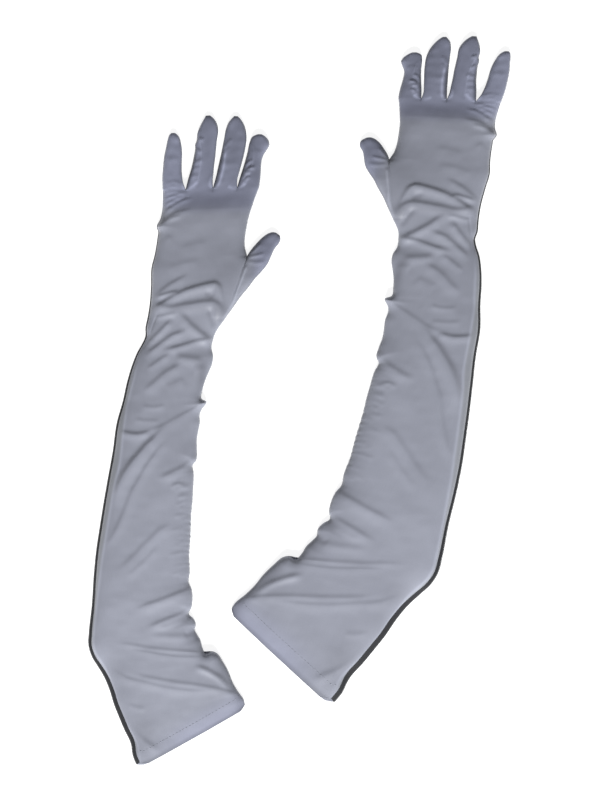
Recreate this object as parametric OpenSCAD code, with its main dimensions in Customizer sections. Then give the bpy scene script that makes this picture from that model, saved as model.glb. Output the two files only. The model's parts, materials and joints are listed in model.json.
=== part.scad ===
// A pair of opera gloves in stretch satin, laid flat with the palms up.
// Every glove is a flattened tube of two skins, palm and back, sewn together at its edges.
// The glove's own frame has its origin at the wrist, +Y towards the fingers and +Z up.

/* [Fabric] */
// Thickness of the satin
fabric = 0.6; // [0.4:0.1:0.8]
// Height of a side seam above the table
seam_z = 2; // [1.8:0.1:2.4]
// Width of a seam allowance, inside the glove
allowance = 5; // [4:0.5:6]
// Thickness of a seam allowance, two layers of satin and their thread
allowance_thick = 0.9; // [0.6:0.1:0.9]
// Depth of the hem turned up inside the opening
hem_depth = 13; // [10:1:16]

/* [Loft] */
// Height of the hand where it is fullest
hand_loft = 11.5; // [10:0.5:12]
// Height at the wrist
wrist_loft = 9; // [8:0.5:10]
// Height of the forearm where it is fullest
forearm_loft = 12.5; // [11:0.5:14]
// Height at the elbow crease
elbow_loft = 11; // [10:0.5:12]
// Height of the open end
mouth_loft = 8; // [7:0.5:9]
// How far the opening's edge bows outwards between its corners
mouth_bow = 2.5; // [0:0.5:4]
// Height of the fingers at the knuckles
finger_loft = 8.5; // [8:0.5:9]
// Height of the thumb where it is fullest
thumb_loft = 8; // [7:0.5:9]
// Height of the thumb's mouth above the side seams, where it is sewn to the hand
thumb_rise = 4.5; // [3.5:0.5:5]

/* [Folds] */
// Clearance between two stretches of glove that fold against each other
fold_gap = 0.4; // [0.3:0.1:0.6]
// Clearance between the thumb and its seam on the hand
thumb_gap = 1.2; // [1:0.1:1.5]
// Clearance beside a finger at the crotch
crotch_gap = 0.4; // [0.3:0.1:0.5]

/* [Stitches] */
// Length of a hem stitch
stitch_length = 2.2; // [1.5:0.1:2.5]
// Stitch length and the gap after it
stitch_pitch = 3.4; // [3:0.1:5]
// Width of the thread
thread = 0.4; // [0.3:0.1:0.5]

/* [Laying out] */
// Width of the left glove as it lies, over the right glove's
left_widen = 1.11; // [1:0.01:1.12]
// Length of the left glove as it lies, over the right glove's
left_lengthen = 1.06; // [1:0.01:1.08]
// Turn of the left glove on the table, in degrees
left_turn = -18.6; // [-24:0.1:-12]

/* [Hidden] */
right_at = [-105.9, 59.8]; // the right wrist on the table
left_at = [103.4, 60];    // the point on the table of the left glove's own pivot
left_pivot = [-10, -90];   // the point of the glove that left_at places
left_skew = -0.27;         // how far the left glove leans as it is pulled straight
left_taper = [0.039, 0.026]; // how much narrower it lies, per 100 mm across and along

PALM = 180;        // turn round a tube at the inner edge, where the palm skin ends
AROUND = 360;      // a whole turn, back at the outer edge
GUSSET = 28;       // turn of a fourchette's seams above and below a finger's edge
PALM_SWELL = 0.75; // how squarely the palm skin rises from its seams
BACK_SWELL = 0.5;  // how squarely the back skin drops to the table
BACK_FLAT = 1.15;  // over 1, so that the middle of the back skin lies flat on the table

// Stations up the arm, from the opening to the knuckles: outer edge, inner edge, loft.
ARM = [
    [[-41, -387.5], [58.5, -333.5], mouth_loft],
    [[-67.5, -316], [44, -305], elbow_loft],
    [[-84, -278], [27, -285], elbow_loft],
    [[-83, -262], [12.5, -268], elbow_loft + 0.5],
    [[-80.5, -235], [8, -240], forearm_loft],
    [[-76, -185], [7.8, -192], forearm_loft],
    [[-66.5, -116], [12, -124], forearm_loft],
    [[-57.5, -73], [17.3, -80], (forearm_loft + wrist_loft) / 2],
    [[-49, -40], [23.5, -42], wrist_loft + 1],
    [[-36.5, -9], [29.2, -10], wrist_loft],
    [[-33, 12], [39, 13.8], (hand_loft + wrist_loft) / 2],
    [[-29.5, 37], [49, 42], hand_loft],
    [[-26.8, 67.8], [58.7, 70.5], hand_loft],
    [[-22.8, 94.5], [58, 90], hand_loft - 0.5],
    [[-18.8, 111], [62.3, 111], hand_loft - 1.5],
    [[-17.5, 130], [70.5, 132.5], finger_loft + 0.5],
];
HEM = 0;
ELBOW = 2;
WRIST = 9;
THUMB_LOW = 10;
CROTCH = 12;
KNUCKLES = 15;
MOUTH_OUT = [0.48, -0.88]; // the way the opening faces

// Where the finger tubes meet on the knuckle line, from the little finger's outer edge to the index's.
CROTCH_X = [-17.5, 4, 28.5, 49.7, 70.5];
FINGERS = ["little", "ring", "middle", "index"];
// Each finger above the knuckle line: left edge, right edge, loft.
FINGER_STATIONS = [
    [[[-17.8, 147], [0.3, 147.5], 7.5], [[-15.5, 165], [0.2, 165], 6.5],
     [[-13, 175], [-1.3, 175], 5.2], [[-9.5, 180], [-5, 180.3], 3.4]],
    [[[7, 150], [29.2, 150], 8], [[11.5, 170], [31, 170], 7.5],
     [[16.5, 187], [32.6, 187], 5.7], [[22, 196], [27.5, 196.5], 3.4]],
    [[[31, 152], [53, 152], 8], [[36, 172], [57.8, 172], 7.5],
     [[41, 187], [57, 187], 5.7], [[47, 194.6], [52.5, 195], 3.4]],
    [[[54, 150], [72, 150], 7.5], [[58.5, 165], [78, 165], 7],
     [[63, 175], [76.5, 175], 5.2], [[67.5, 178.6], [72, 178.8], 3.4]],
];
TIP = 4; // the last station of a finger

// The thumb from its seam to its tip: edge by the index finger, edge by the wrist, loft.
THUMB_OUT = [0.945, -0.328]; // the way it points from its seam
THUMB = [
    [ARM[CROTCH][1] + thumb_gap * THUMB_OUT, ARM[THUMB_LOW][1] + thumb_gap * THUMB_OUT, seam_z + thumb_rise],
    [[63.5, 77.5], [55.5, 35.5], thumb_loft - 0.5],
    [[70, 84], [69, 53], thumb_loft],
    [[77, 90], [80, 70], thumb_loft - 1],
    [[82.5, 91.8], [85.5, 80], 6],
    [[87.5, 90.5], [89, 86], 3.4],
];
THUMB_TIP = 5;

SIDES = ["right", "left"];

function mix(a, b, share) = a + (b - a) * share;
function smooth(x) = let (c = min(1, max(0, x))) c * c * (3 - 2 * c);

// A point at a station number that need not be whole, on a smooth curve through the list.
function spline(list, at) =
    let (
        last = len(list) - 1,
        i = min(last - 1, max(0, floor(at))),
        t = at - i,
        b = list[i],
        c = list[i + 1],
        a = i > 0 ? list[i - 1] : 2 * b - c,
        d = i + 1 < last ? list[i + 2] : 2 * c - b
    )
    b + (c - a) * t / 2 + (2 * a - 5 * b + 4 * c - d) * t * t / 2 + (3 * b - a - 3 * c + d) * t * t * t / 2;

function left_edge(tube, along) = spline([for (s = tube) s[0]], along);
function right_edge(tube, along) = spline([for (s = tube) s[1]], along);
function loft(tube, along) = spline([for (s = tube) s[2]], along);

// The line of the knuckles, and one finger's tube standing on it.
function knuckle(x) =
    let (a = ARM[KNUCKLES][0], b = ARM[KNUCKLES][1])
    [x, mix(a.y, b.y, (x - a.x) / (b.x - a.x))];
function finger(i) = concat(
    [[knuckle(CROTCH_X[i] + crotch_gap), knuckle(CROTCH_X[i + 1] - crotch_gap), finger_loft]],
    FINGER_STATIONS[i]
);

// How far a skin has risen from its seams towards its full height, or dropped to the table,
// for the sine of its turn round the tube.
function rise_over(s) = pow(s, PALM_SWELL);
function drop_under(s) = min(1, BACK_FLAT * pow(s, BACK_SWELL));

// The sine of the turn round the thumb's mouth, from 0 at one end of its seam to 0 at the other.
function mouth_sine(along) =
    let (v = (along - THUMB_LOW) / (CROTCH - THUMB_LOW))
    v <= 0 || v >= 1 ? 0 : 2 * sqrt(v * (1 - v));

// A point on a tube's skin. turn runs from the left edge over the palm side to the right edge
// at PALM, and back under the glove to AROUND. depth is how far inside the outer surface it is.
function skin_point(tube, along, turn, depth, mouth = false) =
    let (
        a = left_edge(tube, along),
        b = right_edge(tube, along),
        margin = depth / norm(b - a),
        u = (1 - cos(turn)) / 2,
        s = abs(sin(turn)),
        bow = tube == ARM ? mouth_bow * s * pow(max(0, 1 - along), 2) : 0,
        at = mix(a, b, mix(margin, 1 - margin, u)) + bow * MOUTH_OUT,
        over = turn >= 0 && turn <= PALM,
        by_thumb = mouth ? smooth((u - 0.6) / 0.4) : 0,
        up = (loft(tube, along) - depth - seam_z) * rise_over(s)
            + thumb_rise * by_thumb * rise_over(mouth_sine(along)),
        down = (seam_z - depth) * max(drop_under(s), by_thumb * drop_under(mouth_sine(along)))
    )
    [at.x, at.y, over ? seam_z + up : seam_z - down];

// Where a point of a glove lies on the table. The left glove is the right one's mirror image,
// turned and pulled a little straighter and wider.
function lay(side, p) =
    side == "right" ? [p.x + right_at.x, p.y + right_at.y, p.z] :
    let (
        d = [p.x - left_pivot.x, p.y - left_pivot.y] / 100,
        q = 1 + left_taper * d,
        x = -left_widen * d.x,
        y = left_lengthen * d.y + left_skew * d.x
    )
    [(cos(left_turn) * x - sin(left_turn) * y) * 100 / q + left_at.x,
     (sin(left_turn) * x + cos(left_turn) * y) * 100 / q + left_at.y,
     p.z];

// A closed solid between two grids of points of the same size, the outer one and the inner one.
module cloth(side, outer, inner) {
    m = len(outer) - 1;
    n = len(outer[0]) - 1;
    size = (m + 1) * (n + 1);
    function at(layer, i, j) = layer * size + i * (n + 1) + j;
    quads = concat(
        [for (i = [0:m - 1], j = [0:n - 1]) [at(0, i, j), at(0, i + 1, j), at(0, i + 1, j + 1), at(0, i, j + 1)]],
        [for (i = [0:m - 1], j = [0:n - 1]) [at(1, i, j), at(1, i, j + 1), at(1, i + 1, j + 1), at(1, i + 1, j)]],
        [for (i = [0:m - 1]) [at(0, i, 0), at(1, i, 0), at(1, i + 1, 0), at(0, i + 1, 0)]],
        [for (i = [0:m - 1]) [at(0, i + 1, n), at(1, i + 1, n), at(1, i, n), at(0, i, n)]],
        [for (j = [0:n - 1]) [at(0, 0, j + 1), at(1, 0, j + 1), at(1, 0, j), at(0, 0, j)]],
        [for (j = [0:n - 1]) [at(0, m, j), at(1, m, j), at(1, m, j + 1), at(0, m, j + 1)]]
    );
    triangles = [for (q = quads) each [[q[0], q[1], q[2]], [q[0], q[2], q[3]]]];
    polyhedron(
        points = [for (grid = [outer, inner], row = grid, p = row) lay(side, p)],
        faces = side == "right" ? triangles : [for (t = triangles) [t[2], t[1], t[0]]]
    );
}

// Equal steps from one number to another.
function steps(from, to, count) = [for (i = [0:count]) mix(from, to, i / count)];

// A stretch of a tube's skin, over a list of stations and a list of turns.
module skin(side, tube, stations, turns, depth = 0, thick = fabric, mouth = false) {
    function grid(d) = [for (along = stations) [for (turn = turns) skin_point(tube, along, turn, d, mouth)]];
    cloth(side, grid(depth), grid(depth + thick));
}

// A seam allowance inside the tube: it starts at a side seam and lies flat between the skins.
module seam_strip(side, tube, stations, on_left) {
    inset = [fabric + 0.6, fabric + 2, fabric + allowance];
    half = [0.05, allowance_thick / 2, allowance_thick / 2];
    function grid(up) = [
        for (along = stations)
            let (
                a = left_edge(tube, along),
                b = right_edge(tube, along),
                across = (b - a) / norm(b - a),
                columns = on_left ? [0, 1, 2] : [2, 1, 0]
            )
            [for (k = columns)
                let (at = on_left ? a + across * inset[k] : b - across * inset[k])
                [at.x, at.y, seam_z + up * half[k]]]
    ];
    cloth(side, grid(1), grid(-1));
}

// One straight stitch lying on the cloth from p to q.
module stitch(p, q) {
    run = norm([q.x - p.x, q.y - p.y]);
    translate(p)
        rotate([0, 0, atan2(q.y - p.y, q.x - p.x)])
            rotate([0, -atan2(q.z - p.z, run), 0])
                translate([0, -thread / 2, 0])
                    cube([norm(q - p), thread, thread]);
}

// A row of stitches across the palm skin, at one station. The stitches lie on the flats of
// the skin's columns.
module stitch_row(side, tube, along) {
    for (j = [1:12]) {
        p = lay(side, skin_point(tube, along, PALM_COLUMNS[j], 0)) + [0, 0, 0.1];
        q = lay(side, skin_point(tube, along, PALM_COLUMNS[j + 1], 0)) + [0, 0, 0.1];
        count = floor(norm(q - p) / stitch_pitch);
        for (k = [0:1:count - 1]) {
            start = mix(p, q, k / count);
            stitch(start, start + (q - p) / norm(q - p) * stitch_length);
        }
    }
}

STEP_GAP = fold_gap / 30; // the fold clearance, in stations of the arm
FINGER_GAP = fold_gap / 17; // the same in stations of a finger
HEM_DEEP = hem_depth / 50; // depth of the hem, in stations of the arm

// The rows of each stretch of glove, and the columns of each skin.
HAND_ROWS = steps(WRIST, KNUCKLES, 16);
FOREARM_ROWS = steps(ELBOW, WRIST - STEP_GAP, 16);
HEM_ROWS = [HEM, HEM_DEEP / 2, HEM_DEEP];
CUFF_ROWS = concat(HEM_ROWS, [for (along = steps(HEM_DEEP, ELBOW - STEP_GAP, 6)) if (along > HEM_DEEP) along]);
FINGER_ROWS = steps(FINGER_GAP, TIP, 10);
THUMB_ROWS = steps(0, THUMB_TIP, 10);
PALM_COLUMNS = steps(0, PALM, 14);
BACK_COLUMNS = steps(PALM, AROUND, 10);

// Part of a list, by the numbers of its first and last items.
function cut(list, first, last) = [for (i = [first:last]) list[i]];

SATIN = [0.62, 0.64, 0.69];
SATIN_UNDER = [0.58, 0.6, 0.65];
GUSSET_SATIN = [0.66, 0.68, 0.74];
SEAM = [0.7, 0.71, 0.78];

module palm_hand(side) {
    color(SATIN) skin(side, ARM, HAND_ROWS, PALM_COLUMNS, mouth = true);
}

module back_hand(side) {
    color(SATIN_UNDER) skin(side, ARM, HAND_ROWS, BACK_COLUMNS, mouth = true);
}

module hand_seams(side) {
    color(SEAM) {
        seam_strip(side, ARM, HAND_ROWS, true);
        seam_strip(side, ARM, cut(HAND_ROWS, 9, 16), false);
    }
}

// The allowance of the thumb's seam, under the palm skin.
module thumb_seam(side) {
    color(SEAM)
        skin(side, ARM, cut(HAND_ROWS, 3, 7), cut(PALM_COLUMNS, 11, 13),
             depth = fabric + 0.1, thick = allowance_thick, mouth = true);
}

// The forearm's palm skin, in three stretches a hair apart, so that each is nearly straight.
module palm_forearm(side) {
    ends = steps(ELBOW, WRIST - STEP_GAP, 3);
    color(SATIN)
        for (k = [0:2])
            skin(side, ARM, steps(ends[k] + (k > 0 ? STEP_GAP / 4 : 0), ends[k + 1], 6), PALM_COLUMNS);
}

module back_forearm(side) {
    color(SATIN_UNDER) skin(side, ARM, FOREARM_ROWS, BACK_COLUMNS);
}

module forearm_seams(side) {
    color(SEAM)
        for (on_left = [true, false])
            seam_strip(side, ARM, FOREARM_ROWS, on_left);
}

module palm_cuff(side) {
    color(SATIN) skin(side, ARM, CUFF_ROWS, PALM_COLUMNS);
}

module back_cuff(side) {
    color(SATIN_UNDER) skin(side, ARM, CUFF_ROWS, BACK_COLUMNS);
}

module cuff_seams(side) {
    color(SEAM)
        for (on_left = [true, false])
            seam_strip(side, ARM, steps(HEM_DEEP + 0.02, ELBOW - STEP_GAP, 8), on_left);
}

// The hem's turned-up layer, lying inside both skins at the opening.
module cuff_hem(side) {
    color(SEAM) {
        skin(side, ARM, HEM_ROWS, cut(PALM_COLUMNS, 1, 13), depth = fabric + 0.1);
        skin(side, ARM, HEM_ROWS, cut(BACK_COLUMNS, 1, 9), depth = fabric + 0.1);
    }
}

module hem_stitching(side) {
    color(SEAM) stitch_row(side, ARM, HEM_DEEP * 0.9);
}

module thumb_palm(side) {
    color(SATIN) skin(side, THUMB, THUMB_ROWS, steps(0, PALM, 8));
}

module thumb_back(side) {
    color(SATIN_UNDER) skin(side, THUMB, THUMB_ROWS, steps(PALM, AROUND, 8));
}

// A finger's edge that faces another finger has a fourchette between palm and back.
function left_seam(i) = i > 0 ? GUSSET : 0;
function right_seam(i) = i < 3 ? GUSSET : 0;

module finger_palm(side, i) {
    color(SATIN)
        skin(side, finger(i), FINGER_ROWS, steps(left_seam(i), PALM - right_seam(i), 8));
}

module finger_back(side, i) {
    color(SATIN_UNDER)
        skin(side, finger(i), FINGER_ROWS, steps(PALM + right_seam(i), AROUND - left_seam(i), 8));
}

module left_fourchette(side, i) {
    color(GUSSET_SATIN) fourchette(side, i, 0);
}

module right_fourchette(side, i) {
    color(GUSSET_SATIN) fourchette(side, i, PALM);
}

// The strip round one edge of a finger, from the palm skin's seam to the back skin's.
module fourchette(side, i, edge) {
    skin(side, finger(i), FINGER_ROWS, steps(edge - GUSSET, edge + GUSSET, 4));
}

for (side = SIDES) {
    palm_hand(side);
    back_hand(side);
    hand_seams(side);
    thumb_seam(side);
    palm_forearm(side);
    back_forearm(side);
    forearm_seams(side);
    palm_cuff(side);
    back_cuff(side);
    cuff_seams(side);
    cuff_hem(side);
    hem_stitching(side);
    thumb_palm(side);
    thumb_back(side);
    for (i = [0:3]) {
        finger_palm(side, i);
        finger_back(side, i);
    }
    left_fourchette(side, 3);
    right_fourchette(side, 2);
    left_fourchette(side, 2);
    right_fourchette(side, 1);
    left_fourchette(side, 1);
    right_fourchette(side, 0);
}
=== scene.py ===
"""A pair of opera gloves in grey stretch satin, lying flat with the palms up.

Shapes are in millimetres in a glove's own frame, which has its origin at the wrist, +Y towards
the fingers and +Z up. lay() puts them on the table, in metres. Every CAD node is replaced by one
piece of cloth or thread of the same name."""
import json
import math

import bpy
import numpy as np
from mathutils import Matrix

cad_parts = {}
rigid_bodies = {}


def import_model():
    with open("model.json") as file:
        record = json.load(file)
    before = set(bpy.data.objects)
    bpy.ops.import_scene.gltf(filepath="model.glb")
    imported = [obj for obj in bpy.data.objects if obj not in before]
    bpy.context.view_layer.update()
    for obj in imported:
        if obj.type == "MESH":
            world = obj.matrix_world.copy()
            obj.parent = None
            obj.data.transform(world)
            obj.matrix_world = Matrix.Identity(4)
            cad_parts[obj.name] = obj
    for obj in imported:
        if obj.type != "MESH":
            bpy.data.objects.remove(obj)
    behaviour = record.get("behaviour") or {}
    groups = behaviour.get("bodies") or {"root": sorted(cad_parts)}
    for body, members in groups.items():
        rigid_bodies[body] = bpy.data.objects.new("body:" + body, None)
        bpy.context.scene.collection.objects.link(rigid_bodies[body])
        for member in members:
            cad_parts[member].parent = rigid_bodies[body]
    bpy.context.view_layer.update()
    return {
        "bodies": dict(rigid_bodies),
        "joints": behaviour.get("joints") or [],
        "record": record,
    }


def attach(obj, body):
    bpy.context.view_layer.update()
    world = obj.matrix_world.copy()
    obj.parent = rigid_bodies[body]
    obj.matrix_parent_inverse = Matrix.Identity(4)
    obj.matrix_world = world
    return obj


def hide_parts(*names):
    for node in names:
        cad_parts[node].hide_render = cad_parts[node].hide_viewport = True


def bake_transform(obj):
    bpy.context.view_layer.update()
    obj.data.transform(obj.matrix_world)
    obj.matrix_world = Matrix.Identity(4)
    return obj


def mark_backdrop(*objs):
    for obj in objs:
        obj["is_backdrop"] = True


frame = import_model()

# ---------------------------------------------------------------- the gloves on the table
RIGHT_AT = np.array([-105.9, 59.8])
LEFT_AT = np.array([103.4, 60.0])
LEFT_PIVOT = np.array([-10.0, -90.0])
LEFT_WIDEN, LEFT_LENGTHEN, LEFT_SKEW = 1.11, 1.06, -0.27
LEFT_TURN = math.radians(-18.6)
LEFT_TAPER = np.array([0.039, 0.026])


def lay(side, points):
    """Where points of a glove, in mm, lie on the table, in metres."""
    p = np.asarray(points, float)
    if side == "right":
        xy = p[..., :2] + RIGHT_AT
    else:
        d = (p[..., :2] - LEFT_PIVOT) / 100
        q = 1 + d @ LEFT_TAPER
        x = -LEFT_WIDEN * d[..., 0]
        y = LEFT_LENGTHEN * d[..., 1] + LEFT_SKEW * d[..., 0]
        c, s = math.cos(LEFT_TURN), math.sin(LEFT_TURN)
        xy = np.stack([(c * x - s * y) * 100 / q, (s * x + c * y) * 100 / q], -1) + LEFT_AT
    return np.concatenate([xy, p[..., 2:]], -1) / 1000


# ---------------------------------------------------------------- curves
def smoothstep(x):
    x = np.clip(x, 0, 1)
    return x * x * (3 - 2 * x)


def bell(x):
    return np.exp(-(x**2))


def lengths(line):
    """The length of each step of a line, and how far along the line each of its points is."""
    size = np.linalg.norm(np.diff(line, axis=0), axis=1)
    return size, np.concatenate([[0], np.cumsum(size)])


def curve(points, spacing=1.0):
    """A smooth curve through the points, as a list of points about spacing apart."""
    p = np.array(points, float)
    h = lengths(p)[0]
    slope = np.diff(p, axis=0) / h[:, None]
    m = np.empty_like(p)
    m[0], m[-1] = slope[0], slope[-1]
    m[1:-1] = (slope[:-1] * h[1:, None] + slope[1:] * h[:-1, None]) / (h[:-1] + h[1:])[:, None]
    out = []
    for i in range(len(h)):
        count = max(1, math.ceil(h[i] / spacing))
        t = (np.arange(count) / count)[:, None]
        out.append((2 * t**3 - 3 * t**2 + 1) * p[i] + (t**3 - 2 * t**2 + t) * h[i] * m[i]
                   + (3 * t**2 - 2 * t**3) * p[i + 1] + (t**3 - t**2) * h[i] * m[i + 1])
    return np.concatenate(out + [p[-1:]])


def along(line, share):
    """The points of a line at shares of its length."""
    run = lengths(line)[1]
    return np.stack([np.interp(share, run / run[-1], line[:, k]) for k in range(line.shape[1])], -1)


def reached(line, distance):
    """The step of a line that a distance along it ends in, and the point there."""
    at = np.interp(distance, lengths(line)[1], np.arange(len(line)))
    k = min(int(at), len(line) - 2)
    return k, line[k] + (at - k) * (line[k + 1] - line[k])


def stretches(line, marks):
    """A line cut into stretches at its points nearest to the marks."""
    cuts = [int(np.argmin(np.linalg.norm(line - np.array(p, float), axis=1))) for p in marks]
    cuts = [0, *cuts, len(line) - 1]
    return [line[i:j + 1] for i, j in zip(cuts, cuts[1:])]


def distance_to(xy, line):
    """For each point, its signed distance to a line (positive on the left of its run) and the
    share of the line's length at the nearest point."""
    ab = np.diff(line, axis=0)
    size, run = lengths(line)
    best = np.full(len(xy), np.inf)
    sign, share = np.zeros(len(xy)), np.zeros(len(xy))
    for k in range(len(ab)):
        d = xy - line[k]
        t = np.clip(d @ ab[k] / size[k] ** 2, 0, 1)
        r = d - t[:, None] * ab[k]
        dist = np.hypot(r[:, 0], r[:, 1])
        near = dist < best
        best[near] = dist[near]
        sign[near] = np.sign(ab[k, 0] * d[near, 1] - ab[k, 1] * d[near, 0])
        share[near] = (run[k] + t[near] * size[k]) / run[-1]
    return best * sign, share


def near_line(xy, line, reach):
    """Which points lie within reach of a line, and what distance_to says of them."""
    lo, hi = line.min(0) - reach, line.max(0) + reach
    near = np.flatnonzero(((xy > lo) & (xy < hi)).all(1))
    return near, *distance_to(xy[near], line)


# ---------------------------------------------------------------- outlines, in mm
# The outer edge, on the little finger's side, from the opening to the knuckles.
OUTER = [(-41, -387), (-44, -380), (-46, -368), (-52, -355), (-57, -343), (-61, -333), (-65, -320),
         (-70, -308), (-76, -298), (-81, -290), (-84, -280), (-83.5, -268), (-81, -245), (-79, -215),
         (-77, -195), (-74, -175), (-70, -150), (-66.5, -130), (-62, -105), (-58.5, -80), (-53, -60),
         (-49, -42), (-45.5, -30), (-40, -16), (-35.5, -8), (-33, -2), (-33, 5), (-31, 15), (-29, 28),
         (-28, 45), (-27.5, 60), (-25, 70), (-22, 88), (-21.5, 92), (-23, 96), (-19.5, 104),
         (-18, 111), (-17.5, 120), (-17.3, 130)]
# The inner edge, on the thumb's side.
INNER = [(57, -333), (56, -329), (50, -320), (46, -313), (42, -303), (37, -294), (31.5, -286.5),
         (28, -285), (21, -286), (18.5, -281), (17, -275), (14, -270), (12, -266), (13, -261),
         (11, -256), (6.5, -251), (9, -246), (10, -238), (9, -229), (6.5, -223), (7.5, -215),
         (7, -200), (8, -185), (8.5, -172), (9, -160), (10, -150), (10.5, -140), (11, -125),
         (10, -118), (13.5, -113), (14, -105), (13.8, -95), (15, -88), (16.5, -80), (16.5, -72),
         (18, -68), (22.5, -60.5), (18, -58), (19, -50), (22, -40), (25, -33), (27.5, -27),
         (28.5, -20), (27, -13), (28.5, -5), (30, 0), (34, 7), (39, 13.8), (44, 28.2), (49, 42.6),
         (53.8, 56.4), (58.7, 70.5), (57, 78), (57, 85), (58.5, 95), (60.5, 105), (63, 113),
         (66, 122), (70, 132.3)]
# Where the arm's stretches meet on each edge: the elbow, the wrist, and the ends of the thumb's seam.
OUTER_MARKS = [(-84, -279), (-36, -9), (-31.7, 12), (-25.5, 67.8)]
INNER_MARKS = [(21, -286), (28, -9), (39, 13.8), (58.7, 70.5)]
# How far the hem lies beyond the line between the opening's corners, over the palm's width.
HEM_BOW = ([0, 0.06, 0.3, 0.6, 0.945, 1], [0, 3.7, 3.6, 3.4, 2.8, 0])
HEM_WAY = np.array([0.48, -0.88])

# Where the fingers meet on the knuckle line, and each finger's edges from there to its tip.
CROTCHES = [(-17.3, 130), (3.7, 129.8), (28.3, 131.3), (50, 131.8), (70, 132.3)]
FINGERS = ["little", "ring", "middle", "index"]
FINGER_LEFT = [
    [(-17.5, 140), (-16.8, 150), (-15.7, 160), (-14, 168), (-12.5, 175), (-10.8, 179.5), (-9.3, 181)],
    [(6.2, 140), (9, 150), (11, 160), (12, 166), (12.2, 171), (13.4, 173.5), (14, 180), (17, 188),
     (20, 193.5), (21.8, 196.6)],
    [(31.4, 143), (32.8, 150), (35.4, 162), (38, 175), (40, 185), (42.5, 191), (45.5, 194.5), (47.4, 196.3)],
    [(52.6, 141), (55.8, 151.5), (59, 163), (61, 172), (63.5, 177.6), (67, 179.5), (68.6, 180)],
]
FINGER_RIGHT = [
    [(1.2, 137), (0.4, 143), (0.2, 152), (0.6, 162), (-0.4, 171), (-2.6, 178), (-5, 180.5), (-6.4, 181.2)],
    [(28, 138), (28.7, 145), (29.3, 151), (30.5, 160), (32, 175), (33, 184), (31.7, 189.6), (28.4, 194.6),
     (25.5, 196.9)],
    [(50, 138), (52, 146), (54.5, 155), (57, 165), (58.5, 177), (57.4, 185), (54.5, 191.6), (52, 194.8),
     (50.4, 196.2)],
    [(71, 140), (71.6, 150), (72.2, 156), (73.8, 161), (77, 166.2), (79, 170), (78.4, 174), (76, 177.2),
     (73.4, 179.2), (71.6, 180)],
]
FINGER_LOFT = [7, 7.6, 7.6, 7.2]
# A fourchette's share of a finger's palm side, from the knuckle line to the tip.
SHARE_AT = [0, 0.15, 0.3, 0.45, 0.6, 0.72, 0.8, 1]
LEFT_SHARE = [
    None,
    [0.4, 0.42, 0.4, 0.36, 0.25, 0.12, 0, 0],
    [0.22, 0.26, 0.27, 0.22, 0.15, 0.08, 0, 0],
    [0.34, 0.42, 0.43, 0.38, 0.28, 0.15, 0, 0],
]
RIGHT_SHARE = [0.05, 0.06, 0.06, 0.05, 0.04, 0.02, 0, 0]
UNDER_SHARE = [0.16, 0.2, 0.22, 0.2, 0.15, 0.08, 0, 0]
FOURCHETTE_END = 0.8  # where a fourchette runs out, as a share of the finger

# The thumb's edges, from its seam: by the index finger, and by the wrist.
THUMB_UPPER = [(58.7, 70.5), (62, 75.5), (67, 81.5), (73, 87.5), (78, 90.8), (82, 91.9), (85, 91.4)]
THUMB_LOWER = [(39, 13.8), (46, 23.5), (53, 33.5), (60, 42), (66, 50), (72, 56.5), (77.5, 63.5),
               (80.5, 70), (84, 77.5), (87.6, 82), (89, 86), (88.2, 89)]

SEAM_Z = 2.0
BACK_Z = 0.12
THUMB_RISE = 6.2
# Height of the palm skin along the glove, in mm over the table.
LOFT_AT = [-365, -330, -300, -281, -265, -240, -120, -78, -41, -9, 13, 40, 80, 98, 112, 124, 131]
LOFT = [7.8, 9.3, 10.3, 10.4, 11, 12, 12, 10.8, 10, 9.2, 10.2, 11.3, 11.2, 11, 10.6, 8.8, 7.6]

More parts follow.
